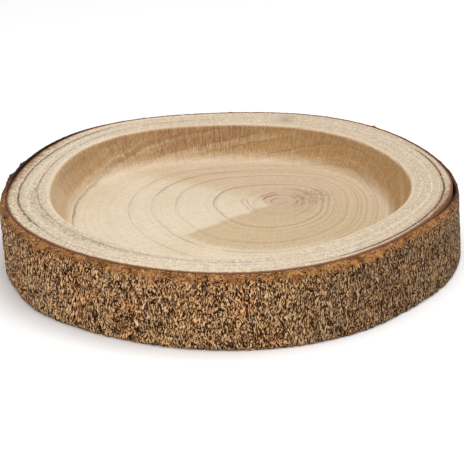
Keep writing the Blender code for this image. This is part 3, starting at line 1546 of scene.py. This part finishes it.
    def tint_years(self, bench: NodeBench, at: WoodPoint, colour: Socket) -> Socket:
        """Soft paler and darker years that follow the rings, plainest on the right of the pith.

        Args:
            bench: The material's bench.
            at: The surface point.
            colour: Colour so far.

        Returns:
            The new colour.
        """
        years = bench.years(at.share, 52.0)
        dark, light = bench.remap(years, 0.50, 0.72), bench.remap(years, 0.46, 0.26)
        colour = bench.tint(colour, self.streak, dark, bench.lift(0.07, at.right, 0.16))
        return bench.tint(colour, self.pale, light, bench.lift(0.10, at.right, 0.12))

    def tint_rim(self, bench: NodeBench, at: WoodPoint, colour: Socket) -> Socket:
        """Flat rim: paler than the floor, greyer to the right, with a pinkish last year outside its ring.

        Args:
            bench: The material's bench.
            at: The surface point.
            colour: Colour so far.

        Returns:
            The new colour.
        """
        top = bench.tint(self.rim, self.sand, at.clouds, 0.25)
        top = bench.tint(top, self.rim_grey, at.right, 0.42)
        colour = bench.tint(colour, top, at.rim, 0.75)
        streaks = bench.years(bench.lift(at.edge_depth, bench.swing(at.here, 70.0), 0.002), 420.0)
        colour = bench.tint(colour, self.rim_grey, bench.remap(streaks, 0.50, 0.70), at.rim, 0.40)
        colour = bench.tint(colour, self.bright, bench.remap(streaks, 0.46, 0.30), at.rim, 0.44)
        outer = bench.remap(at.edge_depth, self.last_year_depth, self.last_year_depth - 0.0025)
        colour = bench.tint(colour, self.last_year, outer, at.rim, bench.rest(at.right), 0.60)
        return bench.tint(colour, self.outer_ring, outer, at.rim, bench.lift(0.10, at.right, 0.60))

    def tint_wall(self, bench: NodeBench, effects: Effects, at: WoodPoint, colour: Socket) -> Socket:
        """Recess wall: tan, darker to the right, streaked where the cutter tore vessels.

        Under the lip it is darker by painted shade, deepest at the back.

        Args:
            bench: The material's bench.
            effects: The shared node groups.
            at: The surface point.
            colour: Colour so far.

        Returns:
            The new colour.
        """
        drop = bench.mark("wall_drop")
        around = bench.heading(at.here, self.recess_middle)
        right = bench.remap(bench.dot(around, self.wall_right_side), -0.75, 0.65)
        behind = bench.remap(bench.dot(around, self.wall_rear_side), -0.05, 0.75)
        torn_share = bench.dot(around, self.torn_side)

        def wall_noise(across: float, along: float, detail: float, roughness: float) -> Socket:
            """Noise on the upright wall, with a scale round it and another down it."""
            return bench.noise(bench.wrapped(around, at.here, across, along), 1.0, detail, roughness)

        # Painted shade under the lip, deepest at the back, made ragged by noise.
        shade = bench.swing(bench.wrapped(around, at.here, 5.0, 60.0), 1.0, 3.0)
        under_lip_shade = bench.remap(bench.lift(drop, shade, 0.9), 0.78, 0.10)
        crossing = bench.years(bench.lift(at.share, bench.swing(at.here, 60.0), 0.012), 46.0)
        columns = bench.remap(wall_noise(26.0, 10.0, 3.0, 0.6), 0.50, 0.68)
        tan = bench.mix(right, self.wall_left, self.wall_right)
        tan = bench.tint(tan, self.wall_back, behind, 0.70)
        tan = bench.tint(tan, self.wall_shade_and_grain, under_lip_shade, bench.lift(0.14, behind, 0.48))
        tan = bench.tint(tan, self.wall_shade_and_grain, bench.remap(torn_share, 0.55, 0.95), 0.22)
        dark, light = bench.remap(crossing, 0.50, 0.70), bench.remap(crossing, 0.46, 0.30)
        tan = bench.tint(tan, self.wall_shade_and_grain, dark, behind, 0.55)
        tan = bench.tint(tan, self.sand, light, bench.remap(drop, 0.1, 0.5), 0.40)
        tan = bench.tint(tan, self.wall_shade_and_grain, columns, 0.30)
        colour = bench.tint(colour, tan, at.wall, 0.90)

        rough = bench.use(effects.patches, {"Vector": at.here, "Scale": 34.0, "Low": 0.30, "High": 0.52})
        torn = bench.times(bench.remap(torn_share, 0.86, 0.99), rough)
        vessels = bench.remap(wall_noise(210.0, 190.0, 3.0, 0.65), 0.47, 0.64)
        tears = bench.remap(wall_noise(75.0, 70.0, 2.0, 0.6), 0.48, 0.60)
        strength = bench.lift(bench.lift(0.14, behind, 0.20), torn, 0.40)
        colour = bench.tint(colour, self.streak, at.wall, vessels, strength)
        return bench.tint(colour, self.streak, at.wall, tears, torn, bench.remap(drop, 0.80, 0.40), 0.65)

    def add_weave(self, bench: NodeBench, at: WoodPoint, colour: Socket) -> Socket:
        """Fine light and dark flecks that lie along the rings, strongest on the rim.

        Args:
            bench: The material's bench.
            at: The surface point.
            colour: Colour so far.

        Returns:
            The new colour.
        """
        weave = bench.times(bench.dashes(at.heading, at.distance, 42.0, 900.0), 0.6)
        weave = bench.lift(weave, bench.swing(at.here, 1000.0, 1.0), 0.6)
        darker = bench.lift(bench.lift(0.16, at.rim, 0.24), at.wall, 0.18)
        paler = bench.lift(0.16, at.rim, 0.34)
        colour = bench.tint(colour, self.pore, bench.remap(weave, 0.02, 0.20), darker)
        return bench.tint(colour, self.bright, bench.remap(weave, -0.02, -0.20), paler)

    def add_pith(self, bench: NodeBench, at: WoodPoint, colour: Socket) -> Socket:
        """Pink-brown pith eye with a line inside its edge, one round its core, and faint ones outside.

        Args:
            bench: The material's bench.
            at: The surface point.
            colour: Colour so far.

        Returns:
            The new colour.
        """
        loose = bench.lift(at.distance, bench.swing(at.here, 90.0), 0.006)
        colour = bench.tint(colour, self.pith_eye, bench.remap(loose, self.eye_radius, 0.0095), 0.75)
        edge_line = bench.band(loose, 0.0098, 0.0108, 0.0112, self.eye_radius)
        core_line = bench.band(loose, 0.0042, 0.0050, 0.0053, 0.0062)
        outside = bench.band(loose, 0.0110, 0.0130, 0.014, 0.034)
        halo = bench.times(bench.remap(bench.years(loose, 300.0), 0.52, 0.62), outside)
        lines = bench.lift(bench.lift(edge_line, core_line, 0.6), halo, 0.8)
        fade = bench.remap(bench.noise(at.here, 70.0), 0.35, 0.62)
        return bench.tint(colour, self.knot_brown, lines, fade, 0.95)

    def add_knot(self, bench: NodeBench, at: WoodPoint, colour: Socket) -> Socket:
        """Curled grain beside the pith, and a grey smudge on the rim behind.

        Args:
            bench: The material's bench.
            at: The surface point.
            colour: Colour so far.

        Returns:
            The new colour.
        """
        curls = bench.size(bench.plus(bench.noise(at.here, 130.0, 2.0, 0.6, 1.4), -0.5))
        curl_line = bench.remap(curls, 0.030, 0.004)
        colour = bench.tint(colour, self.knot_brown, at.knot, bench.lift(0.12, curl_line, 0.85))
        away = bench.length(bench.in_plan(at.here, self.smudge))
        ragged = bench.lift(away, bench.swing(at.here, 110.0), 0.012)
        return bench.tint(colour, self.pore, bench.remap(ragged, self.smudge_reach, self.smudge_core), 0.30)

    def add_edge(self, bench: NodeBench, at: WoodPoint, colour: Socket) -> Socket:
        """Brown stain drawn into the wood from the bark, and the dark cambium line itself.

        Args:
            bench: The material's bench.
            at: The surface point.
            colour: Colour so far.

        Returns:
            The new colour.
        """
        loose = bench.lift(at.edge_depth, bench.dashes(at.heading, at.distance, 120.0, 200.0), 0.022)
        stained = bench.mark("edge_stain")
        colour = bench.tint(colour, self.stain, bench.remap(loose, self.stain_depth, 0.0004), stained, 0.65)
        colour = bench.tint(colour, self.cambium, bench.remap(loose, 0.0024, 0.0), stained, 0.80)
        ragged = bench.lift(at.edge_depth, bench.swing(at.here, 420.0), 0.0020)
        return bench.tint(colour, self.cambium, bench.remap(ragged, self.cambium_depth, 0.0006), 0.85)


@dataclass(frozen=True)
class BarkFinish:
    """Rough bark: dark brown pits, tan strands, and a lighter inner bark where it is rubbed.

    Its dark pits and cracks are partly the bark's own colour and partly painted shade, and its pale
    tips are partly painted highlight.
    """

    middle: Place
    shaded_side: Direction = (0.93, -0.37, 0.0)
    flank_side: Direction = (1.0, 0.0, 0.0)
    # pit: near black of pits and cracks, partly the bark's own colour and partly painted shade.
    pit: Colour = srgb(40, 20, 4)
    deep: Colour = srgb(84, 52, 22)
    body: Colour = srgb(132, 87, 46)
    light: Colour = srgb(180, 131, 84)
    # tip: pale tan of proud tips, partly the fibres' own colour and partly painted highlight.
    tip: Colour = srgb(246, 202, 150)
    rust: Colour = srgb(150, 92, 46)
    moss: Colour = srgb(104, 92, 70)
    worn_tan: Colour = srgb(212, 152, 90)
    worn_brown: Colour = srgb(148, 90, 44)
    inner: Colour = srgb(118, 60, 26)
    # gap: near-black painted shade deep in the gap between bark and wood.
    gap: Colour = srgb(44, 22, 12)
    pit_roughness: float = 0.98
    tip_roughness: float = 0.82
    specular: float = 0.2
    bump: Bump = Bump(0.8, 0.0007)

    def make(self, effects: Effects) -> bpy.types.Material:
        """Make the material.

        Args:
            effects: The shared node groups.

        Returns:
            The material.
        """
        material, bench, shader = new_material("rough_bark")
        here = bench.here()
        fine, speck = self.fine_grain(bench, here)
        around = bench.heading(here, self.middle)
        tone = self.tone(bench, around, fine)
        rough = self.rough_colour(bench, effects, here, around, tone)
        rubbed = self.rubbed_colour(bench, effects, here, fine)

        worn = bench.lift(bench.mark("worn"), fine, 0.35)
        worn = bench.lift(worn, bench.mark("tone"), 0.80)
        inner = bench.mark("inner")
        colour = bench.tint(rough, rubbed, bench.remap(worn, 0.45, 1.00))
        colour = bench.tint(colour, self.inner, bench.remap(bench.lift(inner, speck, 1.2), 0.2, 0.9))
        colour = bench.tint(colour, self.pit, bench.mark("dark_top_edge"), 0.85)
        # Painted shade: near black deep in the gap, where the inner mark passes 1.
        colour = bench.tint(colour, self.gap, bench.remap(inner, 1.0, 1.6))

        self.bump.wire(bench, shader, fine)
        bench.feed(shader.inputs["Base Color"], colour)
        bench.feed(shader.inputs["Roughness"],
                   bench.remap(tone, 0.2, 0.9, self.pit_roughness, self.tip_roughness))
        bench.feed(shader.inputs["Specular IOR Level"], self.specular)
        return material

    def fine_grain(self, bench: NodeBench, here: Socket) -> tuple[Socket, Socket]:
        """Proud strands less dark cracks, where two bent noises pass through 0, and specks between.

        Args:
            bench: The material's bench.
            here: The surface point.

        Returns:
            The sum, above 0 where the bark is proud, and the specks alone.
        """
        bent = bench.warped(here, 85.0, 0.007)
        crossed = bench.stretch(bench.warped(here, 120.0, 0.006), 1.0, 0.30)
        strands = bench.size(bench.swing(bench.stretch(bent, 1.0, 0.25), 740.0, 1.0))
        cracks = bench.size(bench.swing(crossed, 560.0, 1.0))
        speck = bench.swing(bench.stretch(bent, 1.0, 0.34), 1250.0, 1.0)
        # Cracks darken the colour as well as the bump, partly as painted shade in them.
        fine = bench.plus(bench.times(bench.remap(strands, 0.065, 0.0), 0.90),
                          bench.times(bench.remap(cracks, 0.060, 0.0), -1.08), bench.times(speck, 2.9))
        return fine, speck

    def tone(self, bench: NodeBench, around: Socket, fine: Socket) -> Socket:
        """How light the bark is: the mesh's own tone plus the fine grain, stronger to either side.

        Args:
            bench: The material's bench.
            around: Unit vector in plan from the trunk's middle.
            fine: The fine grain.

        Returns:
            Tone, 0 in a pit and 1 on a tip.
        """
        aside = bench.size(bench.dot(around, self.flank_side))
        strength = bench.remap(aside, 0.30, 0.95, 1.0, 1.5)
        start = bench.remap(aside, 0.30, 0.95, 0.47, 0.43)
        return bench.plus(bench.times(bench.mark("tone"), 0.52), bench.times(fine, strength), start)

    def rough_colour(self, bench: NodeBench, effects: Effects, here: Socket, around: Socket,
                     tone: Socket) -> Socket:
        """Colour of the whole bark, from pit to tip, with rusty and mossy patches and a shaded side.

        Args:
            bench: The material's bench.
            effects: The shared node groups.
            here: The surface point.
            around: Unit vector in plan from the trunk's middle.
            tone: How light the bark is.

        Returns:
            The colour.
        """
        low_moss = bench.stretch(here, 1.0, 0.5)
        rusty = bench.use(effects.patches, {"Vector": here, "Scale": 30.0, "Low": 0.44, "High": 0.64})
        mossy = bench.use(effects.patches, {"Vector": low_moss, "Scale": 46.0, "Low": 0.48, "High": 0.66})
        shaded = bench.remap(bench.dot(around, self.shaded_side), 0.35, 0.95)
        # From pit to tip: the dark end is partly painted shade in pits and cracks, the pale end partly
        # painted highlight on tips.
        colour = bench.ramp(tone, ((0.04, self.pit), (0.30, self.deep), (0.50, self.body),
                                   (0.72, self.light), (0.94, self.tip)))
        colour = bench.mix(bench.times(rusty, 0.36), colour, self.rust, "COLOR")
        colour = bench.mix(bench.times(mossy, 0.16), colour, self.moss, "COLOR")
        return bench.tint(colour, self.pit, shaded, 0.46)

    def rubbed_colour(self, bench: NodeBench, effects: Effects, here: Socket, fine: Socket) -> Socket:
        """Colour of the rubbed band: blotched tan and brown, frayed, with cracks and tips showing.

        Args:
            bench: The material's bench.
            effects: The shared node groups.
            here: The surface point.
            fine: The fine grain.

        Returns:
            The colour.
        """
        blotch = bench.noise(bench.stretch(here, 1.0, 2.0), 130.0, 5.0, 0.70)
        frayed = bench.use(effects.fibre, {"Vector": here, "Across": 640.0, "Along": 150.0,
                                           "Low": 0.50, "High": 0.62})
        colour = bench.tint(self.worn_tan, self.worn_brown, bench.remap(blotch, 0.42, 0.60))
        colour = bench.tint(colour, self.deep, frayed, 0.34)
        # Darker in cracks and lighter on tips, partly painted shade and painted highlight.
        colour = bench.tint(colour, self.deep, bench.remap(fine, -0.10, -0.80, 0.0, 0.8))
        return bench.tint(colour, self.light, bench.remap(fine, 0.10, 0.70, 0.0, 0.6))


# ----------------------------------------------------------------------------- studio


class LightRole(Enum):
    """What each lamp of the studio is for."""

    KEY = "key"
    FRONT_FILL = "front_fill"
    SIDE_FILL = "side_fill"


@dataclass(frozen=True)
class Lamp:
    """A soft square lamp that looks at the slice."""

    role: LightRole
    place: Point
    width: float
    power: float

    def hang(self, target: Vector) -> bpy.types.Object:
        """Put the lamp up.

        Args:
            target: The point it looks at.

        Returns:
            The lamp.
        """
        data = bpy.data.lights.new(self.role.value, "AREA")
        data.size = self.width
        data.energy = self.power
        lamp = bpy.data.objects.new(self.role.value, data)
        lamp.location = self.place
        lamp.rotation_euler = (target - Vector(self.place)).to_track_quat("-Z", "Y").to_euler()
        bpy.context.scene.collection.objects.link(lamp)
        return lamp


@dataclass(frozen=True)
class Studio:
    """Pale floor, soft lamps, a bright plain surround and the camera.

    The camera and the lamps look at a place a little to one side and in front of the trunk's middle.
    """

    middle: Point
    aim_shift: Point = (0.0023, -0.0217, 0.0)
    elevation_degrees: float = 22.0
    distance: float = 1.5
    view_width: float = 0.302
    sensor_width: float = 36.0
    floor_size: float = 6.0
    floor_grey: float = 0.95
    floor_roughness: float = 0.95
    surround: float = 0.72
    lamps: tuple[Lamp, ...] = (
        Lamp(LightRole.KEY, (0.25, -0.10, 1.3), 0.9, 8.0),
        Lamp(LightRole.FRONT_FILL, (0.1, -1.6, 0.7), 1.2, 8.0),
        Lamp(LightRole.SIDE_FILL, (1.2, -0.2, 0.7), 0.8, 1.5),
    )

    @property
    def target(self) -> Vector:
        """The point that the camera and the lamps look at."""
        return Vector([place + shift for place, shift in zip(self.middle, self.aim_shift)])

    def lay_floor(self) -> bpy.types.Object:
        """A flat pale sheet under the slice.

        Returns:
            The floor.
        """
        half = 0.5 * self.floor_size
        mesh = bpy.data.meshes.new("studio_floor")
        corners = [(-half, -half, 0.0), (half, -half, 0.0), (half, half, 0.0), (-half, half, 0.0)]
        mesh.from_pydata(corners, [], [(0, 1, 2, 3)])
        floor = bpy.data.objects.new("studio_floor", mesh)
        bpy.context.scene.collection.objects.link(floor)
        material, _, shader = new_material("pale_floor")
        shader.inputs["Base Color"].default_value = (self.floor_grey, self.floor_grey, self.floor_grey, 1.0)
        shader.inputs["Roughness"].default_value = self.floor_roughness
        mesh.materials.append(material)
        return floor

    def light(self) -> None:
        """Light the surround and hang the lamps."""
        world = bpy.data.worlds.new("surround")
        world.use_nodes = True
        background = world.node_tree.nodes["Background"]
        background.inputs["Color"].default_value = (1.0, 1.0, 1.0, 1.0)
        background.inputs["Strength"].default_value = self.surround
        bpy.context.scene.world = world
        for lamp in self.lamps:
            lamp.hang(self.target)

    def place_camera(self) -> bpy.types.Object:
        """A long lens in front of the slice, looking down on it.

        The lens is the distance over the width to show, times the sensor's width.

        Returns:
            The camera.
        """
        tilt = math.radians(self.elevation_degrees)
        data = bpy.data.cameras.new("camera")
        data.sensor_width = self.sensor_width
        data.lens = self.distance / self.view_width * self.sensor_width
        camera = bpy.data.objects.new("camera", data)
        camera.location = self.target + self.distance * Vector((0.0, -math.cos(tilt), math.sin(tilt)))
        camera.rotation_euler = (self.target - camera.location).to_track_quat("-Z", "Y").to_euler()
        bpy.context.scene.collection.objects.link(camera)
        bpy.context.scene.camera = camera
        return camera


# ----------------------------------------------------------------------------- making


def wear_finish(piece: bpy.types.Object, material: bpy.types.Material) -> None:
    """Give a piece its finish, hang it on the body and hide the CAD part it stands for.

    Args:
        piece: The mesh object.
        material: Its material.
    """
    piece.data.materials.append(material)
    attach(piece, BODY)
    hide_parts(NODE)
    LOG.info("%s: %d faces, finish %s", piece.name, len(piece.data.polygons), material.name)


def main() -> None:
    """Build the studio and the two pieces of the slice."""
    logging.basicConfig(level=logging.INFO, format="%(name)s: %(message)s")
    bpy.context.scene.view_settings.view_transform = "Standard"
    plan = SlicePlan()
    growth = GrowthRings(plan)
    low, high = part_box(NODE)
    studio = Studio((*plan.middle, 0.5 * (low.z + high.z)))
    studio.lay_floor()
    studio.light()
    studio.place_camera()
    effects = Effects(EffectGroups.fibre(), EffectGroups.patches())
    sawn_wood = SawnWoodFinish(growth.pith, plan.recess_middle).make(effects)
    wear_finish(SawnWood(plan, growth).build(), sawn_wood)
    rough_bark = BarkFinish(plan.middle).make(effects)
    wear_finish(Bark(plan).build(), rough_bark)


if __name__ == "__main__":
    main()
